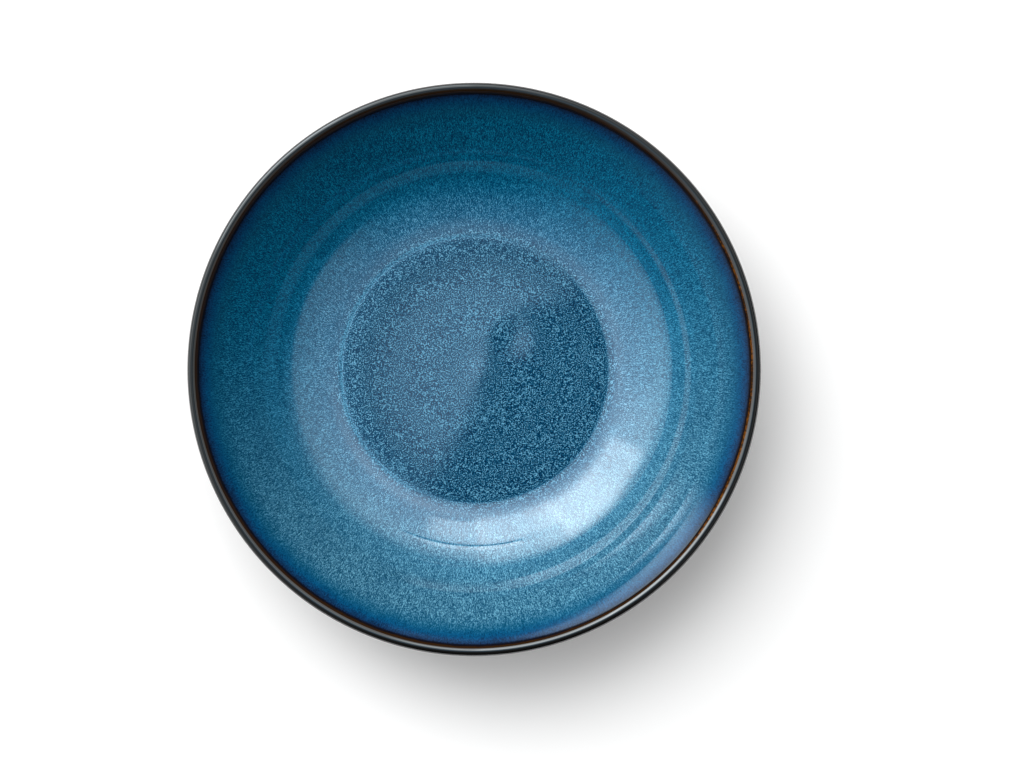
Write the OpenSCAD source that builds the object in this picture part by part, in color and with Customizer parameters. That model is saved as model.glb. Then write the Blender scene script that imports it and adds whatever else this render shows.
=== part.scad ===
// Stoneware salad bowl: a domed well, a round cove, a straight flared wall and a
// rounded lip on a turned foot ring. Every coat of glaze is a piece of its own,
// and only the foot ring is left bare. The bowl stands on Z = 0, its axis is Z.

/* [Rim] */
// Diameter over the rim
rim_d = 240; // [220:1:320]
// Height from the table to the crest of the lip
bowl_h = 53; // [46:0.5:80]
// Thickness of the rounded lip
lip_t = 4; // [3.4:0.1:7]

/* [Inside] */
// Diameter of the well
well_d = 115; // [90:1:126]
// Rise of the well at its middle
well_dome = 1.5; // [0.5:0.1:3]
// Radius of the cove between the well and the wall
cove_r = 41; // [20:0.5:44]
// Thickness of the base, and of the wall at the cove
base_t = 6.5; // [5:0.1:9]

/* [Foot] */
// Diameter over the foot ring
foot_d = 108; // [80:1:120]
// Width of the foot ring
foot_w = 5; // [4:0.1:8]
// Height of the foot ring
foot_h = 4; // [3.6:0.1:8]
// Rounding of the standing edges
foot_edge_r = 1; // [0.4:0.1:1.5]
// Hollow rounding where the foot ring meets the base
foot_root_r = 2; // [0.6:0.1:2.4]

/* [Glaze] */
// Thickness of each coat
glaze_t = 0.5; // [0.3:0.05:0.8]
// Depth of the rim glaze down the inside wall, from the rounding of the lip
rim_band_in = 1.6; // [0.4:0.1:6]
// Depth of the rim glaze down the outside wall, from the rounding of the lip
rim_band_out = 3; // [0.5:0.1:8]

/* [Hidden] */
$fn = 180;
// Farthest that a chord of an outline lies from its arc
arc_gap = 0.01;

lip_r = lip_t / 2;
well_r = well_d / 2;
well_z = foot_h + base_t;
heel_r = cove_r + base_t;
foot_out = foot_d / 2;
foot_in = foot_out - foot_w;
root_out = foot_out + foot_root_r;
root_in = foot_in - foot_root_r;
// Sphere that the domed well is a cap of, and how far the cap reaches
dome_r = (pow(well_r, 2) + pow(well_dome, 2)) / (2 * well_dome);
dome_sweep = asin(well_r / dome_r);

// The walls run straight from the cove and the heel to the lip, tangent to each
cove_c = [well_r, well_z + cove_r];
lip_c = [rim_d / 2 - lip_r, bowl_h - lip_r];
reach = norm(lip_c - cove_c);
tilt = atan2(lip_c[1] - cove_c[1], lip_c[0] - cove_c[0]);
in_slope = tilt + asin((cove_r + lip_r) / reach);
out_slope = tilt + asin((heel_r - lip_r) / reach);

function ray(angle, length) = length * [cos(angle), sin(angle)];
function reversed(list) = [for (i = [len(list) - 1:-1:0]) list[i]];

// Points along an arc, with both of its ends
function arc(centre, radius, from, to) =
    let (steps = ceil(abs(to - from) / (2 * acos(1 - arc_gap / radius))))
    [for (i = [0:steps]) centre + ray(from + (to - from) * i / steps, radius)];

// Ends of the rim glaze on the two walls, a depth below the glaze surface
function rim_in(depth) = lip_c + ray(in_slope + 90, lip_r - depth) - ray(in_slope, rim_band_in);
function rim_out(depth) = lip_c + ray(out_slope - 90, lip_r - depth) - ray(out_slope, rim_band_out);

// Domed well, from the axis to just short of the cove
function well_line(depth) =
    let (line = arc([0, well_z + well_dome - dome_r - depth], dome_r, 90, 90 - dome_sweep))
    [for (i = [0:len(line) - 2]) line[i]];

// Inside of the bowl, from the axis up to the rim glaze
function inside_line(depth) = concat(
    well_line(depth), arc(cove_c, cove_r + depth, -90, in_slope - 90), [rim_in(depth)]);

// Over the lip, from the inside wall to the outside wall
function lip_line(depth) = concat(
    [rim_in(depth)], arc(lip_c, lip_r - depth, in_slope + 90, out_slope - 90), [rim_out(depth)]);

// Outside of the bowl, from the rim glaze down to the foot ring. A foot ring wider
// than the well ends the rounding of the heel early
function heel_end(depth) = root_out > well_r ? -acos((root_out - well_r) / (heel_r - depth)) : -90;
function outside_line(depth) = concat(
    [rim_out(depth)], arc(cove_c, heel_r - depth, out_slope - 90, heel_end(depth)),
    root_out < well_r ? [[root_out, foot_h + depth]] : []);

// Foot ring from its outer root, over the standing face, to its inner root
foot_line = concat(
    arc([root_out, foot_h - foot_root_r], foot_root_r, 90, 180),
    arc([foot_out - foot_edge_r, foot_edge_r], foot_edge_r, 0, -90),
    arc([foot_in + foot_edge_r, foot_edge_r], foot_edge_r, -90, -180),
    arc([root_in, foot_h - foot_root_r], foot_root_r, 0, 90));

// Body of revolution from a half section
module turned(outline) {
    rotate_extrude() polygon(outline);
}

// Fired clay: wall, base and foot ring in one piece
module stoneware_body() {
    base_line = [[root_in, foot_h + glaze_t], [0, foot_h + glaze_t]];
    walls = concat(inside_line(glaze_t), lip_line(glaze_t), outside_line(glaze_t));
    color([0.42, 0.36, 0.31]) turned(concat(walls, foot_line, base_line));
}

// Blue coat on the well, the cove and the inside wall
module inside_glaze() {
    color([0.09, 0.36, 0.48]) turned(concat(inside_line(0), reversed(inside_line(glaze_t))));
}

// Dark brown coat over the lip
module rim_glaze() {
    color([0.20, 0.15, 0.11]) turned(concat(lip_line(0), reversed(lip_line(glaze_t))));
}

// Dark coat on the outside wall and the heel, down to the foot ring
module outside_glaze() {
    color([0.10, 0.10, 0.10]) turned(concat(outside_line(0), reversed(outside_line(glaze_t))));
}

// Dark disc of glaze on the base, inside the foot ring
module base_glaze() {
    color([0.10, 0.10, 0.10]) translate([0, 0, foot_h]) cylinder(h = glaze_t, r = root_in);
}

stoneware_body();
inside_glaze();
rim_glaze();
outside_glaze();
base_glaze();
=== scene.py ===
"""Stoneware salad bowl with a mottled blue inside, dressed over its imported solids.

Each coat of glaze and the clay under it is turned from its own half section, with the
throwing marks of a hand at the wheel. The bowl stands on a white floor and is seen from above.
"""

import logging
import math
from dataclasses import dataclass
from enum import Enum
from typing import Any

import bpy
import numpy as np
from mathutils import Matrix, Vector


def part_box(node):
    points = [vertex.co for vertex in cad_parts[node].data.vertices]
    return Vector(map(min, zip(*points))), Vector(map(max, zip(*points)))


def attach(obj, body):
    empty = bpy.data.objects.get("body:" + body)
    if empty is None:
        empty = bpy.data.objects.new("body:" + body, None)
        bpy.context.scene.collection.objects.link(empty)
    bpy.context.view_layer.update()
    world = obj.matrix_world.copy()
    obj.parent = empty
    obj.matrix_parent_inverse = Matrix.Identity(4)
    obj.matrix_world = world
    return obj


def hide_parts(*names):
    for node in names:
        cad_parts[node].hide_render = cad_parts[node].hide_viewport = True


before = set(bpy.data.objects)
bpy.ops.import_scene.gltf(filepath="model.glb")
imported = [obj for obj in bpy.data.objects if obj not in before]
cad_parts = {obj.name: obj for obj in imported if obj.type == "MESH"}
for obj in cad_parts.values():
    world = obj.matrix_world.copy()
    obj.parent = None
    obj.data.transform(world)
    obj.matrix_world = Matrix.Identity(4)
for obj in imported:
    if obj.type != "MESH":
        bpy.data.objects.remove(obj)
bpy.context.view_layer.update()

LOG = logging.getLogger("salad_bowl")
MM = 0.001
ARC_POINTS = 49

Colour = tuple[float, float, float]
Tones = tuple[Colour, Colour, Colour]
Span = tuple[float, float]
Band = tuple[Span, Span]
Grain = tuple[float, float]
Socket = bpy.types.NodeSocket
Array = np.ndarray


class Value:
    """Shader number: an output socket whose operators add Math nodes to its graph."""

    def __init__(self, graph: "Graph", socket: Socket) -> None:
        """Wrap one output socket of a graph."""
        self.graph = graph
        self.socket = socket

    def __add__(self, other: "Value | float") -> "Value":
        """Sum of two numbers."""
        return self.graph.math("ADD", self, other)

    __radd__ = __add__

    def __sub__(self, other: "Value | float") -> "Value":
        """Difference of two numbers."""
        return self.graph.math("SUBTRACT", self, other)

    def __rsub__(self, other: float) -> "Value":
        """Difference from a plain number on the left."""
        return self.graph.math("SUBTRACT", other, self)

    def __mul__(self, other: "Value | float") -> "Value":
        """Product of two numbers."""
        return self.graph.math("MULTIPLY", self, other)

    __rmul__ = __mul__

    def __truediv__(self, other: "Value | float") -> "Value":
        """Quotient of two numbers."""
        return self.graph.math("DIVIDE", self, other)

    def step(self, low: float, high: float) -> "Value":
        """Smooth step of this number: 0 below low, 1 above high, or the other way round."""
        sockets = {"Value": self, "From Min": low, "From Max": high}
        made = self.graph.node("ShaderNodeMapRange", {"interpolation_type": "SMOOTHSTEP"}, sockets)
        return Value(self.graph, made.outputs["Result"])

    def within(self, band: Band) -> "Value":
        """1 inside a band of this number: a smooth step up times a smooth step down."""
        return self.step(*band[0]) * self.step(*band[1])

    def blend(self, low: float, high: float) -> "Value":
        """Number on the straight line from low, where this number is 0, to high, where it is 1."""
        return low + self * (high - low)

    def clamp(self) -> "Value":
        """This number held between 0 and 1."""
        made = self.graph.node("ShaderNodeClamp", {}, {"Value": self})
        return Value(self.graph, made.outputs["Result"])


Plug = Value | Socket | float | tuple


class Graph:
    """A node tree with short ways to add the nodes that the finishes use."""

    def __init__(self, owner: bpy.types.Material | bpy.types.World) -> None:
        """Take over the node tree of a material or a world, emptied."""
        owner.use_nodes = True
        owner.node_tree.nodes.clear()
        self.tree = owner.node_tree

    def node(self, kind: str, settings: dict[str, Any], sockets: dict[Any, Plug]) -> bpy.types.Node:
        """Add one node.

        Args:
            kind: Blender's name of the node's type.
            settings: properties to set first; stops are a ramp's (position, colour) pairs.
            sockets: values or links of the inputs, by name, identifier or number.

        Returns:
            The new node.
        """
        made = self.tree.nodes.new(kind)
        for name, setting in settings.items():
            if name == "stops":
                self._set_stops(made.color_ramp, setting)
            else:
                setattr(made, name, setting)
        for key, plug in sockets.items():
            self._plug(self._find(made.inputs, key), plug)
        return made

    @staticmethod
    def _set_stops(ramp: bpy.types.ColorRamp, stops: list[tuple[float, Colour]]) -> None:
        """Give a ramp its stops, in order of position."""
        while len(ramp.elements) < len(stops):
            ramp.elements.new(1.0)
        for element, (position, colour) in zip(ramp.elements, stops):
            element.position = position
            element.color = (*colour, 1.0)

    @staticmethod
    def _find(sockets: Any, key: str | int) -> Socket:
        """Socket of a node by number, identifier or name."""
        if isinstance(key, int):
            return sockets[key]
        for socket in sockets:
            if socket.identifier == key:
                return socket
        return sockets[key]

    def _plug(self, socket: Socket, plug: Plug) -> None:
        """Link a value into a socket, or write a number, vector or colour on it."""
        if isinstance(plug, Value):
            self.tree.links.new(plug.socket, socket)
        elif isinstance(plug, Socket):
            self.tree.links.new(plug, socket)
        elif socket.type == "RGBA" and len(plug) == 3:
            socket.default_value = (*plug, 1.0)
        else:
            socket.default_value = plug

    def math(self, operation: str, *operands: Value | float) -> Value:
        """Number worked out by one Math node."""
        made = self.node("ShaderNodeMath", {"operation": operation}, dict(enumerate(operands)))
        return Value(self, made.outputs[0])

    def vector(self, operation: str, *operands: Plug) -> Socket:
        """Vector worked out by one Vector Math node."""
        made = self.node("ShaderNodeVectorMath", {"operation": operation}, dict(enumerate(operands)))
        return made.outputs[0]

    def scaled(self, vector: Socket, factor: Value | float) -> Socket:
        """Vector times a number."""
        made = self.node("ShaderNodeVectorMath", {"operation": "SCALE"}, {0: vector, "Scale": factor})
        return made.outputs[0]

    def axes(self, vector: Socket) -> tuple[Value, Value, Value]:
        """The three numbers of a vector."""
        made = self.node("ShaderNodeSeparateXYZ", {}, {0: vector})
        return tuple(Value(self, socket) for socket in made.outputs)

    def mix(self, factor: Value | float, first: Plug, second: Plug) -> Socket:
        """Colour between two colours."""
        sockets = {"Factor_Float": factor, "A_Color": first, "B_Color": second}
        made = self.node("ShaderNodeMix", {"data_type": "RGBA"}, sockets)
        return self._find(made.outputs, "Result_Color")

    def ramp(self, factor: Value, stops: list[tuple[float, Colour]]) -> Socket:
        """Colour from a ramp of (position, colour) stops."""
        return self.node("ShaderNodeValToRGB", {"stops": stops}, {"Fac": factor}).outputs["Color"]

    def noise(self, place: Socket, grain: float, share: float = 1.0, detail: float = 1.0) -> Value:
        """Noise around 0, about half its share to either side, with a grain of a length in metres."""
        sockets = {"Vector": place, "Scale": 1.0 / grain, "Detail": detail, "Roughness": 0.55}
        made = self.node("ShaderNodeTexNoise", {"noise_dimensions": "3D"}, sockets)
        centred = Value(self, made.outputs["Fac"]) - 0.5
        return centred if share == 1.0 else centred * share

    def bump(self, height: Value, strength: float, distance: float) -> Socket:
        """Normal tilted by a height map, with its relief in metres."""
        sockets = {"Height": height, "Strength": strength, "Distance": distance}
        return self.node("ShaderNodeBump", {}, sockets).outputs["Normal"]


def toward(x: Value, y: Value, azimuth: float) -> Value:
    """Part of a level vector that points to an azimuth in degrees."""
    turn = math.radians(azimuth)
    return x * math.cos(turn) + y * math.sin(turn)


@dataclass(frozen=True)
class Place:
    """Where a shader point lies on the bowl."""

    point: Socket
    outward: Socket
    radius: Value
    edge: Value
    height: Value

    @classmethod
    def of(cls, graph: Graph, rim_r: float) -> "Place":
        """Read the Object coordinates of a graph.

        Args:
            graph: the graph that needs the place.
            rim_r: radius over the rim.

        Returns:
            The point, the outward direction, the distance from the axis and from the rim, in
            millimetres, and the height, in millimetres.
        """
        point = graph.node("ShaderNodeTexCoord", {}, {}).outputs["Object"]
        x, y, z = graph.axes(point)
        flat = graph.vector("MULTIPLY", point, (1.0, 1.0, 0.0))
        outward = graph.vector("NORMALIZE", flat)
        radius = graph.math("SQRT", x * x + y * y) / MM
        return cls(point, outward, radius, rim_r / MM - radius, z / MM)

    def facing(self, graph: Graph, azimuth: float) -> Value:
        """Cosine of the angle round the axis from the point to an azimuth in degrees."""
        x, y, _ = graph.axes(self.outward)
        return toward(x, y, azimuth)

    def unrolled(self, graph: Graph, radius: float, along: Value) -> Socket:
        """The direction from the axis at a fixed radius, with a way along in metres as its height."""
        up = graph.node("ShaderNodeCombineXYZ", {}, {"Z": along}).outputs[0]
        return graph.vector("ADD", graph.scaled(self.outward, radius), up)


@dataclass(frozen=True)
class EdgeBand:
    """Colours of the glazes near the rim, by distance from the outer edge in millimetres.

    The lip is a dark olive brown. Past it an amber line breaks through in specks, most of them on
    the warm side of the bowl, and then black, violet and deep blue bands run into the wall.
    """

    reach: float = 14.0
    lip: Colour = (0.004, 0.0035, 0.003)
    amber: Colour = (0.165, 0.048, 0.003)
    umber: Colour = (0.027, 0.0095, 0.0015)
    black: Colour = (0.006, 0.004, 0.006)
    violet: Colour = (0.005, 0.020, 0.056)
    indigo: Colour = (0.004, 0.042, 0.112)
    blue: Colour = (0.002, 0.060, 0.142)
    teal: Colour = (0.003, 0.080, 0.155)
    line_band: Band = ((3.1, 3.5), (4.3, 3.9))
    speck: float = 1.2 * MM
    patch: Grain = (22 * MM, 0.5)
    speck_step: Span = (0.32, 0.66)
    warm_azimuth: float = -5.0
    warm_step: Span = (0.55, 0.97)
    warm_share: float = 0.5

    def colour(self, graph: Graph, place: Place, edge: Value) -> Socket:
        """Colour at a distance from the outer edge.

        Args:
            graph: the graph of the finish.
            place: where the point lies, for the specks of the amber line.
            edge: distance from the outer edge in millimetres, made uneven by the glaze's flow.

        Returns:
            The colour's socket.
        """
        specks = graph.noise(place.point, self.speck, detail=2.0) + graph.noise(place.point, *self.patch)
        warm = place.facing(graph, self.warm_azimuth).step(*self.warm_step) * self.warm_share
        line = graph.mix((specks + warm).step(*self.speck_step), self.umber, self.amber)
        at = [
            (2.8, self.lip), (3.3, self.umber), (4.0, self.umber), (4.3, self.black), (4.7, self.black),
            (5.2, self.violet), (6.7, self.indigo), (8.1, self.blue), (11.0, self.teal),
        ]
        bands = graph.ramp(edge / self.reach, [(where / self.reach, tint) for where, tint in at])
        return graph.mix(edge.within(self.line_band), bands, line)


@dataclass(frozen=True)
class Finish:
    """Material of a piece: its name, its slot in the record, the bowl's rim and the shader's IOR."""

    name: str
    slot: str
    rim_r: float
    ior: float

    def material(self) -> bpy.types.Material:
        """Make the material and let the finish paint it."""
        made = bpy.data.materials.new(self.name)
        graph = Graph(made)
        sockets = self.paint(graph, Place.of(graph, self.rim_r))
        shader = graph.node("ShaderNodeBsdfPrincipled", {}, {"IOR": self.ior, **sockets})
        graph.node("ShaderNodeOutputMaterial", {}, {"Surface": shader.outputs["BSDF"]})
        return made

    def paint(self, graph: Graph, place: Place) -> dict[str, Plug]:
        """Sockets of the shader that this finish sets."""
        raise NotImplementedError


@dataclass(frozen=True)
class BlueGlaze(Finish):
    """Reactive blue glaze: pale flecks in a deep teal, drawn out down the wall where it ran.

    It is paler round the well and in the cove, partly glaze that pools there and partly painted reflection.
    The brink of the well is paler as painted light, and a pale line along the kerb is painted reflection,
    both strongest on the side that faces azimuth 158. Lit walls take a redder, paler copy of the streak
    tones, which is painted light. Tones go from deep to pale, and a grain has a length and a share.
    Steps and bands on the bowl are in millimetres, azimuths in degrees.
    """

    ior: float = 1.01
    fleck: Grain = (0.50 * MM, 4.5)
    short: Grain = (0.35 * MM, 0.8)
    short_drawn: float = 0.58
    long: Grain = (0.44 * MM, 0.25)
    long_drawn: float = 0.20
    wall_contrast: float = 3.1
    wall_r: float = 100 * MM
    wall_step: Span = (54.0, 67.0)
    mean: Span = (0.38, 0.50)
    cloud: Grain = (7 * MM, 0.14)
    haze: Grain = (26 * MM, 0.15)
    still_tones: Tones = ((0.0, 0.022, 0.060), (0.002, 0.070, 0.140), (0.135, 0.345, 0.480))
    still_middle: float = 0.6
    # Two copies of the streak tones: the first for walls turned from the light, the second, redder and
    # paler, for the lit walls that face azimuth -78. The difference between them is painted light.
    ran_shade_side_tones: Tones = ((0.0, 0.034, 0.082), (0.0, 0.088, 0.178), (0.005, 0.255, 0.425))
    lit_side_tones: Tones = ((0.002, 0.042, 0.088), (0.026, 0.116, 0.194), (0.155, 0.375, 0.480))
    ran_middle: float = 0.5
    ran_step: Span = (60.0, 88.0)
    lit_side_azimuth: float = -78.0
    thin_glaze_and_lit_side_step: Span = (-0.6, 0.9)
    wander: Grain = (8 * MM, 1.4)
    # Paler round the well and in the cove: partly glaze that pools there, partly painted reflection that
    # stands in for the cove's blue sheen.
    pool_and_sheen_band: Band = ((56.0, 60.5), (98.0, 60.0))
    pool_and_sheen_share: float = 0.60
    # Painted light: the brink of the well is paler, and the kerb carries a pale line of painted reflection,
    # both strongest on the side that faces azimuth 158.
    brink_band: Band = ((46.0, 53.0), (60.5, 56.0))
    brink_share: float = 0.22
    kerb: Colour = (0.18, 0.48, 0.68)
    sheen_azimuth: float = 158.0
    sheen_side_step: Span = (-0.4, 0.9)
    kerb_band: Band = ((56.8, 57.6), (60.6, 57.7))
    kerb_share: Span = (0.10, 0.46)
    kerb_grain: Span = (0.2, 1.4)
    drift: Grain = (9 * MM, 2.4)
    mottle_drift: float = 1.2
    drift_step: Span = (4.6, 7.0)
    rim_step: Span = (17.5, 8.5)
    rim_grain: Span = (0.6, 1.4)
    relief: float = 0.02 * MM
    coat_grain: Span = (0.82, 1.0)
    coat_step: Span = (4.0, 20.0)
    coat_share: Span = (0.55, 1.0)
    bands: EdgeBand = EdgeBand()

    def mottle(self, graph: Graph, place: Place) -> Value:
        """Flecks from 0, deep, to 1, pale.

        Noise on the point itself gives the round flecks of the well. On the wall it is read at the
        direction from the axis and at a shortened radius, which draws the flecks out into streaks.
        """
        wall = place.radius.step(*self.wall_step)
        flecks = graph.noise(place.point, *self.fleck)
        drawn = ((self.short_drawn, self.short), (self.long_drawn, self.long))
        short, long = (
            graph.noise(place.unrolled(graph, self.wall_r, place.radius * (pull * MM)), *grain)
            for pull, grain in drawn
        )
        streaks = (short + long) * self.wall_contrast
        clouds = graph.noise(place.point, *self.cloud, detail=2.0) + graph.noise(place.point, *self.haze)
        return (wall.blend(*self.mean) + flecks + (streaks - flecks) * wall + clouds).clamp()

    @staticmethod
    def toned(graph: Graph, mottle: Value, tones: Tones, middle: float) -> Socket:
        """Colour of the mottle between three tones, with the place of the middle one."""
        return graph.ramp(mottle, list(zip((0.0, middle, 1.0), tones)))

    def body(self, graph: Graph, place: Place, mottle: Value) -> Socket:
        """Colour of the well, the cove and the wall.

        Args:
            graph: the graph of the finish.
            place: where the point lies.
            mottle: the flecks.

        Returns:
            The flecks or streaks in their tones, with the lit walls in the lit copy as painted light, scaled
            up round the well and in the cove as glaze that pools there and painted reflection, and on the
            brink of the well as painted light, with the kerb's colour mixed in along its broken line as
            painted reflection.
        """
        still = self.toned(graph, mottle, self.still_tones, self.still_middle)
        shade_side = self.toned(graph, mottle, self.ran_shade_side_tones, self.ran_middle)
        thin_glaze_and_lit_side = self.toned(graph, mottle, self.lit_side_tones, self.ran_middle)
        # Painted light: walls that face azimuth -78 take the lit copy of the streak tones.
        streaks = graph.mix(place.facing(graph, self.lit_side_azimuth).step(*self.thin_glaze_and_lit_side_step), shade_side, thin_glaze_and_lit_side)
        flecked = graph.mix(place.radius.step(*self.ran_step), still, streaks)
        wander = place.radius + graph.noise(place.point, *self.wander, detail=2.0)
        # Painted reflection and painted light: the kerb line and the paler brink are kept to the side that
        # faces azimuth 158.
        sheen_side = place.facing(graph, self.sheen_azimuth).step(*self.sheen_side_step)
        pool_and_sheen = wander.within(self.pool_and_sheen_band) * self.pool_and_sheen_share
        brink = wander.within(self.brink_band) * sheen_side * self.brink_share
        line = wander.within(self.kerb_band) * sheen_side.blend(*self.kerb_share)
        brightened = graph.scaled(flecked, 1.0 + pool_and_sheen + brink)
        return graph.mix(line * mottle.blend(*self.kerb_grain), brightened, self.kerb)

    def paint(self, graph: Graph, place: Place) -> dict[str, Plug]:
        """Mottled blue that runs into the bands of the rim."""
        mottle = self.mottle(graph, place)
        drift = graph.noise(place.point, *self.drift, detail=2.0) + (mottle - 0.5) * self.mottle_drift
        rim = self.bands.colour(graph, place, place.edge + drift * place.edge.step(*self.drift_step))
        grained = graph.scaled(rim, mottle.blend(*self.rim_grain))
        at_rim = (place.edge + drift).step(*self.rim_step)
        colour = graph.mix(at_rim, self.body(graph, place, mottle), grained)
        relief = graph.bump(mottle, 0.1, self.relief)
        weight = mottle.blend(*self.coat_grain) * place.edge.step(*self.coat_step).blend(*self.coat_share)
        gloss = {"Coat Weight": weight, "Coat Roughness": 0.06, "Coat IOR": 1.90}
        return {"Base Color": colour, "Roughness": 0.4, "Normal": relief, **gloss}


@dataclass(frozen=True)
class RimGlaze(Finish):
    """Dark olive-brown gloss over the lip, duller on its crest, with the amber line on its inner side."""

    ior: float = 1.01
    bands: EdgeBand = EdgeBand()
    sway: Grain = (6 * MM, 0.7)
    speck: float = 0.6 * MM
    speck_step: Span = (0.15, 0.35)
    worn: Colour = (0.014, 0.010, 0.006)
    wave: float = 4 * MM
    wave_depth: float = 0.05 * MM
    crest_band: Band = ((1.1, 1.5), (2.4, 1.9))
    gloss_step: Span = (3.9, 3.3)
    gloss_least: float = 0.15
    gloss_share: Span = (0.85, 0.17)

    def paint(self, graph: Graph, place: Place) -> dict[str, Plug]:
        """Bands of the rim with specks and a breath of unevenness."""
        sway = graph.noise(place.point, *self.sway, detail=2.0)
        specks = graph.noise(place.point, self.speck, detail=2.0)
        colour = self.bands.colour(graph, place, place.edge + sway)
        colour = graph.mix(specks.step(*self.speck_step), colour, self.worn)
        relief = graph.bump(graph.noise(place.point, self.wave), 0.2, self.wave_depth)
        glossy = place.edge.step(*self.gloss_step)
        weight = self.gloss_least + glossy * place.edge.within(self.crest_band).blend(*self.gloss_share)
        gloss = {"Coat Weight": weight, "Coat Roughness": 0.03, "Coat IOR": 1.82}
        return {"Base Color": colour, "Roughness": 0.3 + specks * 0.1, "Normal": relief, **gloss}


@dataclass(frozen=True)
class DarkGlaze(Finish):
    """Satin brown-black outside glaze that breaks brown in rings, and where it thins near the foot."""

    ior: float = 1.45
    black: Colour = (0.009, 0.008, 0.008)
    brown: Colour = (0.070, 0.040, 0.022)
    rust: Colour = (0.150, 0.090, 0.048)
    cloud: float = 14 * MM
    speck: float = 0.9 * MM
    ring: float = 2.4 * MM
    ring_r: float = 15 * MM
    ring_share: float = 1.1
    brown_share: float = 0.22
    thin_glaze_and_lit_side_step: Span = (11.0, 3.0)
    thin_sway: float = 8.0
    thin_share: float = 0.5
    rust_step: Span = (0.10, 0.26)
    rust_share: float = 0.75
    relief: float = 0.05 * MM

    def paint(self, graph: Graph, place: Place) -> dict[str, Plug]:
        """Near-black with clouds, rings drawn out round the bowl, and fine specks of rust."""
        clouds = graph.noise(place.point, self.cloud, detail=3.0)
        specks = graph.noise(place.point, self.speck, detail=2.0)
        along = (place.radius + place.height) * MM
        rings = graph.noise(place.unrolled(graph, self.ring_r, along), self.ring, detail=3.0)
        thin_glaze_and_lit_side = (place.height + clouds * self.thin_sway).step(*self.thin_glaze_and_lit_side_step) * self.thin_share
        browned = (self.brown_share + clouds + rings * self.ring_share + thin_glaze_and_lit_side).clamp()
        base = graph.mix(browned, self.black, self.brown)
        colour = graph.mix(specks.step(*self.rust_step) * self.rust_share, base, self.rust)
        relief = graph.bump(specks + clouds * 2.0 + rings, 0.4, self.relief)
        return {"Base Color": colour, "Roughness": 0.34 + specks * 0.25 + rings * 0.2, "Normal": relief}


@dataclass(frozen=True)
class BareClay(Finish):
    """Unglazed stoneware of the foot ring: warm grey-brown with grog and iron specks."""

    ior: float = 1.5
    pale: Colour = (0.36, 0.29, 0.22)
    dark: Colour = (0.22, 0.165, 0.12)
    iron: Colour = (0.05, 0.03, 0.02)
    cloud: float = 9 * MM
    grog: float = 0.5 * MM
    speck: float = 1.1 * MM
    iron_step: Span = (0.2, 0.27)
    relief: float = 0.08 * MM

    def paint(self, graph: Graph, place: Place) -> dict[str, Plug]:
        """Grainy clay with specks."""
        clouds = graph.noise(place.point, self.cloud, detail=3.0)
        grog = graph.noise(place.point, self.grog, detail=3.0)
        body = graph.mix((0.5 + clouds + grog).clamp(), self.dark, self.pale)
        colour = graph.mix(graph.noise(place.point, self.speck).step(*self.iron_step), body, self.iron)
        relief = graph.bump(grog, 0.5, self.relief)
        return {"Base Color": colour, "Roughness": 0.86 + grog * 0.2, "Normal": relief}


class Ends(Enum):
    """How the half section of a turned piece closes."""

    ON_AXIS = "its two ends lie on the axis"
    IN_LOOP = "its last point joins its first"


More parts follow.
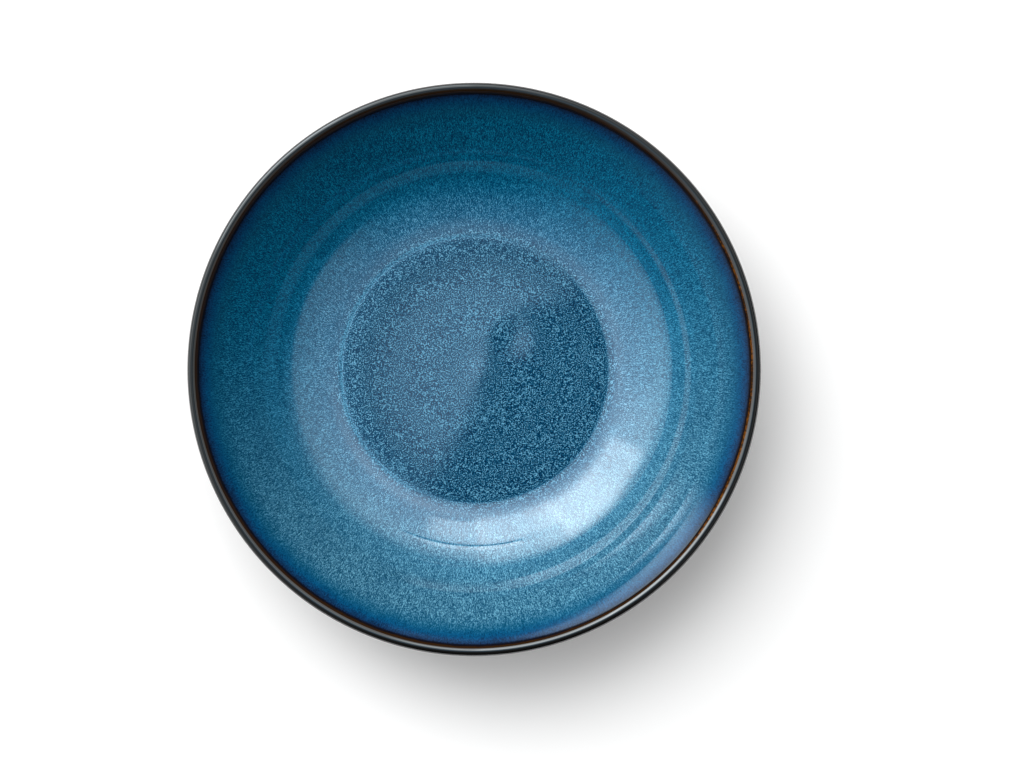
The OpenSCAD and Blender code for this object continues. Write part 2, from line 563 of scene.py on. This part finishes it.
@dataclass(frozen=True)
class BowlForm:
    """Half section of the bowl as (radius, height) points, a depth below the glaze surface.

    A domed well meets a round cove; straight walls run from the cove and from the heel to the
    lip, tangent to each.
    """

    rim_r: float
    height: float
    foot_h: float
    well_z: float
    glaze_t: float
    lip_r: float = 2 * MM
    well_r: float = 57.5 * MM
    dome: float = 1.5 * MM
    cove_r: float = 41 * MM
    foot_out: float = 54 * MM
    foot_w: float = 5 * MM
    edge_r: float = 1 * MM
    root_r: float = 2 * MM
    band_in: float = 1.6 * MM
    band_out: float = 3 * MM

    @classmethod
    def from_frame(cls) -> "BowlForm":
        """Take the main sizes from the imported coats."""
        _, rim_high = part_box("rim_glaze")
        base_low, base_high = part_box("base_glaze")
        inside_low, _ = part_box("inside_glaze")
        glaze_t = base_high.z - base_low.z
        return cls(rim_high.x, rim_high.z, base_low.z, inside_low.z + glaze_t, glaze_t)

    @property
    def cove_c(self) -> Array:
        """Centre of the cove's arc and of the heel's."""
        return np.array([self.well_r, self.well_z + self.cove_r])

    @property
    def heel_r(self) -> float:
        """Radius of the heel under the cove."""
        return self.cove_r + self.well_z - self.foot_h

    @property
    def lip_c(self) -> Array:
        """Centre of the lip's rounding."""
        return np.array([self.rim_r - self.lip_r, self.height - self.lip_r])

    def slope(self, arm: float) -> float:
        """Slope of a wall that is tangent to the lip and to an arc, with the sum of their radii."""
        gap = self.lip_c - self.cove_c
        return math.atan2(gap[1], gap[0]) + math.asin(arm / np.hypot(*gap))

    @property
    def in_slope(self) -> float:
        """Slope of the inside wall."""
        return self.slope(self.cove_r + self.lip_r)

    @property
    def out_slope(self) -> float:
        """Slope of the outside wall."""
        return self.slope(self.heel_r - self.lip_r)

    @staticmethod
    def ray(angle: float, length: float) -> Array:
        """Vector of a length at an angle."""
        return length * np.array([math.cos(angle), math.sin(angle)])

    @staticmethod
    def arc(centre: Array | Span, radius: float, start: float, stop: float) -> Array:
        """Points along an arc, with both ends: the centre plus a ray that turns evenly."""
        turn = np.linspace(start, stop, ARC_POINTS)
        return np.stack([centre[0] + radius * np.cos(turn), centre[1] + radius * np.sin(turn)], -1)

    def rim_in(self, depth: float) -> Array:
        """End of the rim glaze on the inside wall."""
        square = self.in_slope + math.pi / 2
        return self.lip_c + self.ray(square, self.lip_r - depth) - self.ray(self.in_slope, self.band_in)

    def rim_out(self, depth: float) -> Array:
        """End of the rim glaze on the outside wall."""
        square = self.out_slope - math.pi / 2
        return self.lip_c + self.ray(square, self.lip_r - depth) - self.ray(self.out_slope, self.band_out)

    def inside(self, depth: float) -> Array:
        """From the axis over the domed well, the cove and the wall to the rim glaze."""
        ball = (self.well_r**2 + self.dome**2) / (2 * self.dome)
        r = np.linspace(0.0, self.well_r, ARC_POINTS)
        well = np.stack([r, self.well_z + self.dome - ball - depth + np.sqrt(ball**2 - r**2)], -1)
        cove = self.arc(self.cove_c, self.cove_r + depth, -math.pi / 2, self.in_slope - math.pi / 2)
        return np.vstack([well, cove[1:], self.rim_in(depth)])

    def lip(self, depth: float) -> Array:
        """Over the lip from the inside wall to the outside wall."""
        first, last = self.in_slope + math.pi / 2, self.out_slope - math.pi / 2
        over = self.arc(self.lip_c, self.lip_r - depth, first, last)
        return np.vstack([self.rim_in(depth), over, self.rim_out(depth)])

    def outside(self, depth: float) -> Array:
        """From the rim glaze down the outside wall and round the heel to the foot ring."""
        heel = self.arc(self.cove_c, self.heel_r - depth, self.out_slope - math.pi / 2, -math.pi / 2)
        root = np.array([self.foot_out + self.root_r, self.foot_h + depth])
        return np.vstack([self.rim_out(depth), heel, root])

    def foot(self) -> Array:
        """Foot ring from its outer root over the standing face to its inner root, as four quarter turns."""
        root, edge, outer = self.root_r, self.edge_r, self.foot_out
        inner, root_z = outer - self.foot_w, self.foot_h - root
        quarters = (
            (outer + root, root_z, root, 1, 2), (outer - edge, edge, edge, 0, -1),
            (inner + edge, edge, edge, -1, -2), (inner - root, root_z, root, 0, 1),
        )
        turn = math.pi / 2
        return np.vstack([self.arc((x, z), r, a * turn, b * turn) for x, z, r, a, b in quarters])


def lengths(path: Array) -> Array:
    """Length along a path at each of its points."""
    return np.concatenate([[0.0], np.cumsum(np.hypot(*np.diff(path, axis=0).T))])


def marked(path: Array, marks: Array) -> Array:
    """Points of a path at some lengths along it."""
    along = lengths(path)
    return np.stack([np.interp(marks, along, path[:, k]) for k in range(2)], -1)


def spaced(path: Array, step: float) -> Array:
    """Points at even steps along a path.

    Args:
        path: corner points in rows.
        step: length between the new points, about.

    Returns:
        The new points, with the two ends of the path among them.
    """
    total = lengths(path)[-1]
    return marked(path, np.linspace(0.0, total, max(2, round(total / step) + 1)))


def softened(path: Array, width: float, parts: int = 6, reach: int = 3) -> Array:
    """Path with its kinks rounded: each point is the mean of its neighbours under a bell curve.

    Args:
        path: corner points in rows.
        width: spread of the bell curve.
        parts: steps to one spread.
        reach: spreads to either side that count.

    Returns:
        Closely spaced points that keep both ends, past which the path is mirrored in its end.
    """
    close = spaced(path, width / parts)
    span = parts * reach
    before = 2 * close[0] - close[span:0:-1]
    after = 2 * close[-1] - close[-2:-span - 2:-1]
    bell = np.exp(-0.5 * (np.arange(-span, span + 1) / parts) ** 2)
    padded = np.vstack([before, close, after])
    return np.stack([np.convolve(padded[:, k], bell / bell.sum(), "valid") for k in range(2)], -1)


def graded(path: Array, zones: tuple[Span, ...]) -> Array:
    """Points along an outward path at a step that changes from zone to zone.

    Args:
        path: closely spaced points in rows, with a radius that only grows.
        zones: outer radius and step of each zone, from the axis outwards.

    Returns:
        The new points, with the two ends of the path among them.
    """
    along = lengths(path)
    ends = np.interp([0.0, *(radius for radius, _ in zones)], path[:, 0], along)
    counts = [max(2, round((high - low) / step) + 1) for low, high, (_, step) in zip(ends, ends[1:], zones)]
    spans = [np.linspace(low, high, count)[:-1] for low, high, count in zip(ends, ends[1:], counts)]
    return marked(path, np.concatenate([*spans, along[-1:]]))


def linked(name: str, data: bpy.types.ID) -> bpy.types.Object:
    """New object with some data, linked to the scene."""
    made = bpy.data.objects.new(name, data)
    bpy.context.scene.collection.objects.link(made)
    return made


def smooth(low: float, high: float, value: Array) -> Array:
    """Smooth step from 0 at low to 1 at high."""
    t = np.clip((value - low) / (high - low), 0.0, 1.0)
    return t * t * (3 - 2 * t)


@dataclass
class Turned:
    """A piece turned from a half section: rings of points carried round the axis."""

    name: str
    node: str
    finish: Finish
    form: BowlForm
    angles: int = 512
    crease_angle: float = 40.0

    @property
    def round(self) -> Array:
        """Angles of the points in a ring, in a row."""
        return np.linspace(0.0, 2 * math.pi, self.angles, endpoint=False)[None, :]

    def turn(self, path: Array, lift: Array, ends: Ends) -> bpy.types.Object:
        """Carry a half section round the axis as one closed mesh.

        Point (i, j) has the radius and height of path point i, moved by lift (i, j) along the
        left-hand normal of the path, at angle j.

        Args:
            path: (radius, height) points with the solid on the right of the way along them.
            lift: outward shift of each point, a row per path point and a column per angle.
            ends: how the half section closes.

        Returns:
            The new object, at the origin.
        """
        along = np.gradient(path, axis=0)
        normal = np.stack([-along[:, 1], along[:, 0]], -1) / np.hypot(*along.T)[:, None]
        r = path[:, :1] + normal[:, :1] * lift
        z = path[:, 1:] + normal[:, 1:] * lift
        points = np.stack([r * np.cos(self.round), r * np.sin(self.round), z + 0 * self.round], -1)
        if ends is Ends.ON_AXIS:
            poles = np.array([[0.0, 0.0, z[0].mean()], [0.0, 0.0, z[-1].mean()]])
            points = points[1:-1]
        else:
            poles = np.empty((0, 3))
        faces = self.faces(len(points), ends)
        return self.put(np.vstack([points.reshape(-1, 3), poles]), faces)

    def faces(self, rings: int, ends: Ends) -> list[Array]:
        """Corner numbers of the quads between rings, and of the fans at the poles."""
        n = self.angles
        j = np.arange(n)[None, :]
        after = (j + 1) % n
        i = np.arange(rings if ends is Ends.IN_LOOP else rings - 1)[:, None]
        below = (i + 1) % rings
        quads = np.stack([i * n + j, below * n + j, below * n + after, i * n + after], -1).reshape(-1, 4)
        if ends is Ends.IN_LOOP:
            return [quads]
        first, last = rings * n, rings * n + 1
        j, after = j[0], after[0]
        top = np.stack([np.full(n, first), j, after], -1)
        low = np.stack([(rings - 1) * n + j, np.full(n, last), (rings - 1) * n + after], -1)
        return [quads, np.vstack([top, low])]

    def put(self, points: Array, faces: list[Array]) -> bpy.types.Object:
        """Write points and faces into a smooth-shaded mesh and link its object."""
        mesh = bpy.data.meshes.new(self.name)
        mesh.vertices.add(len(points))
        mesh.vertices.foreach_set("co", points.astype(np.float32).ravel())
        corners = np.concatenate([part.ravel() for part in faces])
        sides = np.concatenate([np.full(len(part), part.shape[1]) for part in faces])
        mesh.loops.add(len(corners))
        mesh.loops.foreach_set("vertex_index", corners.astype(np.int32))
        mesh.polygons.add(len(sides))
        mesh.polygons.foreach_set("loop_start", (np.cumsum(sides) - sides).astype(np.int32))
        mesh.polygons.foreach_set("use_smooth", np.ones(len(sides), bool))
        mesh.update(calc_edges=True)
        mesh.validate()
        mesh.set_sharp_from_angle(angle=math.radians(self.crease_angle))
        return linked(self.name, mesh)

    def coat(self, front: Array, relief: Array, back: Array, ends: Ends) -> None:
        """Turn a coat from its surface, raised by a relief, and its smooth back, and place it."""
        lift = np.zeros((len(front) + len(back), self.angles))
        lift[:len(front)] = relief
        self.place(self.turn(np.vstack([front, back]), lift, ends))

    def place(self, made: bpy.types.Object) -> None:
        """Dress a piece, let it stand for its node and report it."""
        made.data.materials.append(self.finish.material())
        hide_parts(self.node)
        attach(made, "root")
        LOG.info("%s: %d faces, %s", made.name, len(made.data.polygons), self.finish.name)


@dataclass(frozen=True)
class Ripple:
    """One train of throwing rings: a wave along the wall that climbs as a spiral and swells round it."""

    length: float
    rise: float
    climb: int
    phase: float
    swells: int
    swell_phase: float
    swell: float = 0.4

    def lift(self, along: Array, angle: Array) -> Array:
        """Rise times the cosine of the way along the wall, with the swell round the bowl."""
        wave = np.cos(2 * math.pi * along / self.length + self.climb * angle + self.phase)
        swell = self.swell * np.cos(self.swells * angle + self.swell_phase)
        return self.rise * wave * (1 - self.swell + swell)


@dataclass(frozen=True)
class Rings:
    """Rings that a hand leaves on the wall, told by how far the slope turns from ridge to ridge.

    Each pair holds a radius in millimetres and the turn of the slope there in degrees. Where two
    radii lie close together the wall breaks over a ridge. The rings lie a little off the axis.
    """

    turns: tuple[Span, ...] = (
        (70.0, 0.0), (80.0, 0.2), (84.0, 0.8), (86.0, 2.05), (89.8, 2.05), (90.0, -2.5), (93.1, -2.3),
        (93.4, 0.3), (95.7, 0.5), (95.95, -0.8), (104.6, 0.65), (104.8, -0.55), (108.6, 0.15),
        (110.0, -0.6), (112.4, -1.0), (113.7, -1.36), (115.2, -1.25), (115.35, 0.8), (115.4, 0.8),
    )
    throw: float = 2.2 * MM
    azimuth: float = math.radians(-130.0)
    throw_from: Span = (88 * MM, 94 * MM)
    throw_end: Span = (1 * MM, 9 * MM)
    settle: float = 6 * MM

    def lift(self, path: Array, r: Array, angle: Array) -> Array:
        """Height gathered from the turns of the slope.

        Args:
            path: closely spaced (radius, height) points of the surface.
            r: radius of each ring of the mesh, in a column.
            angle: angle of each point of a ring, in a row.

        Returns:
            The sum of turn times length up to the radius from the rings' own middle, which comes
            back to the axis towards the rim.
        """
        radii, turns = np.array(self.turns).T
        turn = np.radians(np.interp(path[:, 0], radii * MM, turns))
        pieces = np.diff(lengths(path)) * (turn[1:] + turn[:-1]) / 2
        gathered = np.concatenate([[0.0], np.cumsum(pieces)])
        rim = path[-1, 0]
        gathered = gathered - gathered[-1] * smooth(rim - self.settle, rim, path[:, 0])
        thrown = smooth(*self.throw_from, r) * smooth(rim - self.throw_end[0], rim - self.throw_end[1], r)
        return np.interp(r - self.throw * thrown * np.cos(angle - self.azimuth), path[:, 0], gathered)


@dataclass(frozen=True)
class Kerb:
    """Edge of the well, past which the cove sets off at a small angle."""

    radius: float = 57.5 * MM
    grade: float = 0.11
    fade: float = 8.0 * MM

    def lift(self, r: Array) -> Array:
        """The grade times the way past the edge, dying away as an exponential."""
        past = np.maximum(r - self.radius, 0.0)
        return self.grade * past * np.exp(-past / self.fade)


@dataclass(frozen=True)
class Dimple:
    """A soft round hollow in the well, or a knob where its depth is negative."""

    x: float
    y: float
    spread: float
    depth: float

    def lift(self, r: Array, angle: Array) -> Array:
        """Minus the depth times a bell curve of the distance from the middle."""
        gap = (r * np.cos(angle) - self.x) ** 2 + (r * np.sin(angle) - self.y) ** 2
        return -self.depth * np.exp(-gap / (2 * self.spread**2))


@dataclass(frozen=True)
class Crease:
    """A fine raised line along a part of a ring, steeper towards the axis than away from it."""

    radius: float = 76.1 * MM
    rise: float = 0.3 * MM
    inner_width: float = 0.48 * MM
    outer_width: float = 1.0 * MM
    start: float = math.radians(241.0)
    full: float = math.radians(254.0)
    stop: float = math.radians(286.5)
    end_fade: float = math.radians(2.0)

    def lift(self, r: Array, angle: Array) -> Array:
        """The rise times a bell curve across the line, of two widths, that fades in and ends short."""
        off = r - self.radius
        width = np.where(off < 0, self.inner_width, self.outer_width)
        kept = smooth(self.start, self.full, angle) * smooth(self.stop, self.stop - self.end_fade, angle)
        return self.rise * np.exp(-((off / width) ** 2)) * kept


@dataclass
class InsideCoat(Turned):
    """Blue coat of the well, the cove and the wall, with the marks of the hand that threw it.

    These are the rings on the wall, the kerb and the crease of the cove, and the well's dimples.
    """

    back_step: float = 8.0 * MM
    soft: float = 1.5 * MM
    zones: tuple[Span, ...] = (
        (56.5 * MM, 2.0 * MM), (59.0 * MM, 0.16 * MM), (74.8 * MM, 1.2 * MM), (78.0 * MM, 0.16 * MM),
        (84.0 * MM, 0.9 * MM), (120.0 * MM, 0.56 * MM),
    )
    rings: Rings = Rings()
    kerb: Kerb = Kerb()
    crease: Crease = Crease()
    dimples: tuple[Dimple, ...] = (
        Dimple(15.4 * MM, 12.6 * MM, 6.4 * MM, 0.17 * MM),
        Dimple(1.0 * MM, 1.5 * MM, 8.0 * MM, -0.11 * MM),
    )

    def build(self) -> None:
        """Turn the coat, its surface raised by the sum of all the marks, and dress it."""
        path = softened(self.form.inside(0.0), self.soft)
        front = graded(path, self.zones)
        back = spaced(self.form.inside(self.form.glaze_t), self.back_step)[::-1]
        r, angle = front[:, :1], self.round
        well = sum(dimple.lift(r, angle) for dimple in self.dimples)
        cove = self.kerb.lift(r) + self.crease.lift(r, angle)
        self.coat(front, self.rings.lift(path, r, angle) + cove + well, back, Ends.ON_AXIS)


@dataclass
class RimCoat(Turned):
    """Dark coat over the lip, swollen a little where it rolls over the inside edge."""

    step: float = 0.2 * MM
    back_step: float = 1.0 * MM
    roll: float = 0.11 * MM
    roll_fade: float = 1.5 * MM

    def swell(self, front: Array) -> Array:
        """Rise in proportion up to the edge, then a smooth fall over the rounding."""
        along, edge = lengths(front)[:, None], self.form.band_in
        fall = smooth(edge + self.roll_fade, edge, along)
        return self.roll * np.clip(along / edge, 0.0, 1.0) * fall

    def build(self) -> None:
        """Turn the coat from its surface and its back, and dress it."""
        front = spaced(self.form.lip(0.0), self.step)
        back = spaced(self.form.lip(self.form.glaze_t), self.back_step)[::-1]
        self.coat(front, self.swell(front), back, Ends.IN_LOOP)


@dataclass
class OutsideCoat(Turned):
    """Dark coat of the outside wall and the heel, beaded along its end at the foot ring.

    Each lump of the bead holds a share of its rise, a number of waves round the bowl and a phase.
    """

    step: float = 1.1 * MM
    end_step: float = 0.2 * MM
    back_step: float = 5.0 * MM
    top_fade: float = 6 * MM
    foot_fade: float = 12 * MM
    bead_rise: float = 0.10 * MM
    bead_width: float = 0.7 * MM
    bead_mean: float = 0.6
    lumps: tuple[tuple[float, int, float], ...] = ((0.25, 5, 1.0), (0.15, 13, 0.0))
    ripples: tuple[Ripple, ...] = (
        Ripple(9.0 * MM, 0.030 * MM, 1, 1.0, 2, 0.5),
        Ripple(15.0 * MM, 0.045 * MM, 1, 3.1, 3, 2.0),
    )

    def relief(self, path: Array) -> Array:
        """Throwing rings between the two ends, and a bell-shaped bead before the lower end."""
        along = lengths(path)[:, None]
        end = along[-1, 0]
        wall = smooth(0.0, self.top_fade, along) * smooth(end, end - self.foot_fade, along)
        rings = sum(ripple.lift(along, self.round) for ripple in self.ripples)
        uneven = sum(share * np.cos(waves * self.round + phase) for share, waves, phase in self.lumps)
        bead = self.bead_rise * np.exp(-(((along - end + self.bead_width) / self.bead_width) ** 2))
        return wall * rings + bead * (self.bead_mean + uneven)

    def build(self) -> None:
        """Turn the coat from its surface and its back, and dress it."""
        outline = self.form.outside(0.0)
        front = np.vstack([spaced(outline[:-1], self.step), spaced(outline[-2:], self.end_step)[1:]])
        back = spaced(self.form.outside(self.form.glaze_t), self.back_step)[::-1]
        self.coat(front, self.relief(front), back, Ends.IN_LOOP)


@dataclass
class BaseCoat(Turned):
    """Dark disc of glaze inside the foot ring, over the turning marks of the base."""

    step: float = 0.8 * MM
    mark_rise: float = 0.02 * MM
    mark_length: float = 4.5 * MM
    middle_fade: float = 6 * MM
    edge_fade: float = 3 * MM

    def build(self) -> None:
        """Turn the disc from its hidden top, its rim and its surface, and dress it."""
        form = self.form
        reach = form.foot_out - form.foot_w - form.root_r
        low, high = form.foot_h, form.foot_h + form.glaze_t
        back = np.array([[0.0, high], [reach / 2, high], [reach, high]])
        front = spaced(np.array([[reach, low], [0.0, low]]), self.step)
        r = front[:, :1]
        marks = self.mark_rise * np.cos(2 * math.pi * r / self.mark_length + self.round)
        marks = marks * smooth(0.0, self.middle_fade, r) * smooth(reach, reach - self.edge_fade, r)
        lift = np.vstack([np.zeros((len(back), self.angles)), marks])
        self.place(self.turn(np.vstack([back, front]), lift, Ends.ON_AXIS))


@dataclass
class ClayBody(Turned):
    """Fired clay under the coats, with turning marks on the foot ring that stays bare."""

    wall_step: float = 4.0 * MM
    lip_step: float = 0.5 * MM
    foot_step: float = 0.2 * MM
    mark_rise: float = 0.012 * MM
    mark_length: float = 0.9 * MM
    mark_fade: float = 1 * MM

    def build(self) -> None:
        """Turn the clay from the hidden walls and the finely ringed foot, and dress it."""
        form, depth = self.form, self.form.glaze_t
        parts = (form.inside, form.lip, form.outside)
        steps = (self.wall_step, self.lip_step, self.wall_step)
        inside, lip, outside = (spaced(part(depth), step) for part, step in zip(parts, steps))
        walls = np.vstack([inside, lip[1:-1], outside])
        foot = spaced(form.foot(), self.foot_step)
        root = form.foot_h
        base = np.array([[foot[-1, 0], root + depth], [0.0, root + depth]])
        path = np.vstack([walls, foot, base])
        z = foot[:, 1:]
        marks = self.mark_rise * np.cos(2 * math.pi * lengths(foot)[:, None] / self.mark_length + self.round)
        lift = np.zeros((len(path), self.angles))
        kept = smooth(0.0, self.mark_fade, z) * smooth(root, root - self.mark_fade, z)
        lift[len(walls):-len(base)] = marks * kept
        self.place(self.turn(path, lift, Ends.ON_AXIS))


@dataclass(frozen=True)
class Card:
    """A soft box or card of the studio as a patch of sky, with its angles in degrees.

    It lies between two angles from the zenith, its top and its foot, and reaches a half width to
    each side of its azimuth. Each border has its own softness, and the foot may lean to one side.
    """

    azimuth: float
    half_width: float
    side_edge: float
    top: float
    top_edge: float
    foot: float
    foot_edge: float
    level: float
    lean: float = 0.0


@dataclass
class Studio:
    """White floor, soft light from cards round the bowl, and the camera above it.

    Spans are angles from the zenith in degrees. A line of the card overhead holds the azimuth that
    it faces and how far past the zenith the card starts.
    """

    form: BowlForm
    floor_half: float = 6.0
    floor_colour: Colour = (0.955, 0.862, 0.82)
    floor_glow: float = 0.12
    tint: Colour = (0.90, 1.0, 1.05)
    overhead_tint: Colour = (0.62, 1.0, 1.36)
    exposure: float = 1.17
    least: float = 0.006
    fill: float = 0.08
    fill_span: Span = (62.0, 24.0)
    fill_above: float = 0.46
    above_span: Span = (24.0, 8.0)
    held_span: Span = (8.2, 9.8)
    cards: tuple[Card, ...] = (
        Card(122.0, 86.0, 56.0, 11.0, 3.5, 71.0, 14.0, 1.22, 7.5),
        Card(352.0, 32.0, 24.0, 18.0, 6.0, 57.0, 4.0, 0.34),
        Card(125.0, 42.0, 14.0, 18.0, 6.0, 64.0, 14.0, 0.75),
        Card(137.0, 17.0, 2.0, 19.5, 7.0, 69.0, 10.0, 2.1, -14.0),
        Card(127.0, 10.0, 8.0, 22.0, 7.0, 76.5, 4.0, 1.3),
        Card(106.5, 14.5, 1.2, 17.0, 4.5, 46.0, 6.0, 2.1),
        Card(106.0, 12.0, 6.0, 49.0, 6.0, 75.5, 4.5, 1.0),
        Card(84.0, 8.0, 4.0, 20.5, 0.8, 42.0, 8.0, 1.5),
        Card(120.0, 46.0, 5.0, 78.0, 1.5, 82.4, 0.5, 0.37),
        Card(66.0, 44.0, 34.0, 9.4, 1.2, 15.0, 5.0, 0.5),
    )
    low_card: Card = Card(124.0, 22.0, 9.0, 82.2, 1.5, 84.16, 0.4, 2.6, 3.9)
    low_tint: Colour = (0.78, 1.0, 1.18)
    overhead_lines: tuple[Span, Span] = ((152.0, -0.003), (107.6, 0.055))
    overhead_edge: float = 0.012
    overhead_level: float = 0.74
    overhead_span: Span = (9.2, 4.8)
    middle_level: float = 0.55
    middle_span: Span = (3.8, 0.3)
    camera_shift: Span = (15.82 * MM, -6.08 * MM)
    camera_above_rim: float = 1.30
    lens: float = 109.25

    def floor(self) -> None:
        """Large white floor just under the foot ring, which keeps the bowl's shadow."""
        half = self.floor_half
        mesh = bpy.data.meshes.new("floor")
        corners = [(-half, -half, 0.0), (half, -half, 0.0), (half, half, 0.0), (-half, half, 0.0)]
        mesh.from_pydata(corners, [], [(0, 1, 2, 3)])
        made = linked("floor", mesh)
        material = bpy.data.materials.new("white_floor")
        graph = Graph(material)
        path = graph.node("ShaderNodeLightPath", {}, {})
        seen = [Value(graph, path.outputs[f"Is {ray} Ray"]) for ray in ("Camera", "Glossy", "Transmission")]
        glow = (seen[0] + seen[1] + seen[2]).clamp() * self.floor_glow
        paper = graph.node("ShaderNodeBsdfDiffuse", {}, {"Color": self.floor_colour})
        light = graph.node("ShaderNodeEmission", {}, {"Strength": glow})
        both = graph.node("ShaderNodeAddShader", {}, {0: paper.outputs[0], 1: light.outputs[0]})
        graph.node("ShaderNodeOutputMaterial", {}, {"Surface": both.outputs[0]})
        mesh.materials.append(material)

    def lights(self) -> None:
        """World whose brightness in each direction is the fill plus the cards that lie there."""
        world = bpy.data.worlds.new("studio")
        bpy.context.scene.world = world
        graph = Graph(world)
        way = graph.node("ShaderNodeTexCoord", {}, {}).outputs["Generated"]
        x, y, z = graph.axes(way)
        level = graph.math("SQRT", x * x + y * y)
        zenith = graph.math("ARCCOSINE", z) * math.degrees(1.0)
        light = self.open_sky(zenith) + self.least
        for card in self.cards:
            light = light + self.patch(card, x, y, level, zenith)
        low = self.patch(self.low_card, x, y, level, zenith)
        above = self.overhead(x, y, zenith)
        sources = ((self.tint, light), (self.overhead_tint, above), (self.low_tint, low))
        tinted = [graph.scaled(tint, strength * self.exposure) for tint, strength in sources]
        lit = graph.vector("ADD", graph.vector("ADD", tinted[0], tinted[1]), tinted[2])
        seen = graph.node("ShaderNodeLightPath", {}, {}).outputs["Is Camera Ray"]
        colour = graph.mix(Value(graph, seen), lit, (1.0, 1.0, 1.0))
        sky = graph.node("ShaderNodeBackground", {}, {"Color": colour})
        graph.node("ShaderNodeOutputWorld", {}, {"Surface": sky.outputs[0]})

    def open_sky(self, zenith: Value) -> Value:
        """Even fill that dies away to the horizon, rises high up and is held back at the zenith."""
        level = self.fill + zenith.step(*self.above_span) * self.fill_above
        return zenith.step(*self.fill_span) * level * zenith.step(*self.held_span)

    def overhead(self, x: Value, y: Value, zenith: Value) -> Value:
        """Card over the bowl that ends on two lines by the zenith and dims away from it."""
        soft = self.overhead_edge
        past = [toward(x, y, turn).step(start - soft, start + soft) for turn, start in self.overhead_lines]
        near = zenith.step(*self.overhead_span) * self.overhead_level
        middle = zenith.step(*self.middle_span) * self.middle_level
        return zenith.graph.math("MAXIMUM", *past) * (near + middle)

    @staticmethod
    def patch(card: Card, x: Value, y: Value, level: Value, zenith: Value) -> Value:
        """Brightness that one card adds: soft steps in azimuth and in the angle from the zenith."""
        ahead = toward(x, y, card.azimuth) / level
        aside = toward(x, y, card.azimuth + 90.0) / level
        outer, inner = card.half_width + card.side_edge, card.half_width - card.side_edge
        across = ahead.step(math.cos(math.radians(outer)), math.cos(math.radians(inner)))
        top = zenith.step(card.top - card.top_edge, card.top + card.top_edge)
        foot = (zenith - aside * card.lean).step(card.foot + card.foot_edge, card.foot - card.foot_edge)
        return across * top * foot * card.level

    def camera(self) -> None:
        """Camera that looks straight down, from beside the bowl's axis."""
        data = bpy.data.cameras.new("above")
        data.lens = self.lens
        made = linked("above", data)
        lip_z = self.form.height - self.form.lip_r
        made.location = Vector((*self.camera_shift, lip_z + self.camera_above_rim))
        bpy.context.scene.camera = made

    def build(self) -> None:
        """Set up the floor, the lights, the camera and the plain view."""
        self.floor()
        self.lights()
        self.camera()
        bpy.context.scene.view_settings.view_transform = "Standard"
        LOG.info("studio: floor, %d cards and camera", len(self.cards) + 1)


def main() -> None:
    """Build the bowl from the clay outwards, then the studio round it."""
    logging.basicConfig(level=logging.INFO, format="%(message)s")
    form = BowlForm.from_frame()
    blue = BlueGlaze("blue_reactive_glaze", "blue_glaze", form.rim_r)
    dark = DarkGlaze("satin_dark_glaze", "dark_glaze", form.rim_r)
    lip = RimGlaze("dark_rim_glaze", "rim_glaze", form.rim_r)
    clay = BareClay("bare_stoneware", "stoneware", form.rim_r)
    ClayBody("clay_body", "stoneware_body", clay, form, angles=384).build()
    InsideCoat("inside_coat", "inside_glaze", blue, form).build()
    RimCoat("rim_coat", "rim_glaze", lip, form).build()
    OutsideCoat("outside_coat", "outside_glaze", dark, form).build()
    BaseCoat("base_coat", "base_glaze", dark, form).build()
    Studio(form).build()


if __name__ == "__main__":
    main()
